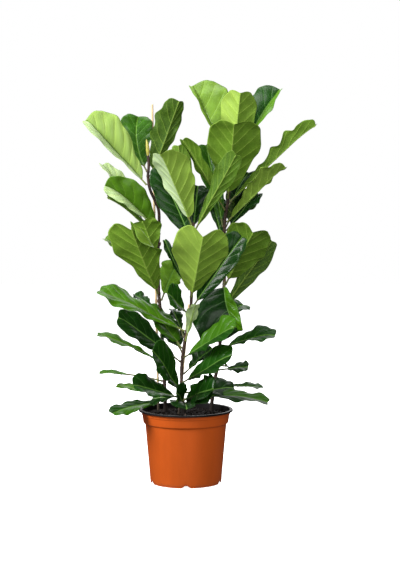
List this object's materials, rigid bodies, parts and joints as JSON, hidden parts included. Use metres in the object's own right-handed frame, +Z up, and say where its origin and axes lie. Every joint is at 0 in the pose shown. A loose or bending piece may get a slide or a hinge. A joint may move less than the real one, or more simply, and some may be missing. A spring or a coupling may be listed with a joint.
{
  "type": "potted fiddle leaf fig",
  "caption": "Upright fiddle leaf fig with broad veined leaves on slim woody canes, staked with bamboo in a terracotta-coloured plastic nursery pot.",
  "frame": {"origin": "centre of the pot's flat underside", "axes": "+Z up along the plant, +X to the right and -Y towards the viewer"},
  "size_m": [0.5853, 0.3538, 1.0348],
  "materials": {
    "pot_plastic": "satin moulded polypropylene, terracotta-coloured outside, black lip and inside",
    "soil": "dark crumbly peat",
    "bark": "rough young bark with nodes",
    "bamboo": "dry bamboo",
    "bud": "soft yellow-green sheath",
    "leaf_young": "fresh green, satin above and matte below",
    "leaf_mature": "mid green, glossy above and matte below",
    "leaf_old": "dark green, waxy gloss above and matte below"
  },
  "bodies": {
    "root": {"pot": "pot_plastic", "soil": "soil", "cane_left": "bark", "cane_centre": "bark", "cane_right": "bark", "stake_left": "bamboo", "stake_centre": "bamboo", "bud_left": "bud", "leaf_left_01": "leaf_young", "leaf_left_02": "leaf_young", "leaf_left_03": "leaf_young", "leaf_left_04": "leaf_young", "leaf_left_05": "leaf_young", "leaf_left_06": "leaf_mature", "leaf_left_07": "leaf_mature", "leaf_left_08": "leaf_mature", "leaf_left_09": "leaf_mature", "leaf_left_10": "leaf_mature", "leaf_left_11": "leaf_old", "leaf_left_12": "leaf_old", "leaf_left_13": "leaf_old", "leaf_left_14": "leaf_old", "leaf_left_15": "leaf_old", "leaf_centre_01": "leaf_young", "leaf_centre_02": "leaf_mature", "leaf_centre_03": "leaf_mature", "leaf_centre_04": "leaf_young", "leaf_centre_05": "leaf_mature", "leaf_centre_06": "leaf_mature", "leaf_centre_07": "leaf_mature", "leaf_centre_08": "leaf_old", "leaf_centre_09": "leaf_old", "leaf_centre_10": "leaf_old", "leaf_centre_11": "leaf_old", "leaf_centre_12": "leaf_old", "leaf_centre_13": "leaf_old", "leaf_centre_14": "leaf_old", "leaf_centre_15": "leaf_old", "leaf_centre_16": "leaf_old", "leaf_centre_17": "leaf_old", "leaf_centre_18": "leaf_old", "leaf_centre_19": "leaf_old", "leaf_centre_20": "leaf_old", "leaf_right_01": "leaf_young", "leaf_right_02": "leaf_young", "leaf_right_03": "leaf_young", "leaf_right_04": "leaf_young", "leaf_right_05": "leaf_young", "leaf_right_06": "leaf_young", "leaf_right_07": "leaf_mature", "leaf_right_08": "leaf_young", "leaf_right_09": "leaf_mature", "leaf_right_10": "leaf_mature", "leaf_right_11": "leaf_mature", "leaf_right_12": "leaf_mature", "leaf_right_13": "leaf_old", "leaf_right_14": "leaf_old", "leaf_right_15": "leaf_old", "leaf_right_16": "leaf_old", "leaf_right_17": "leaf_old"}
  },
  "joints": []
}
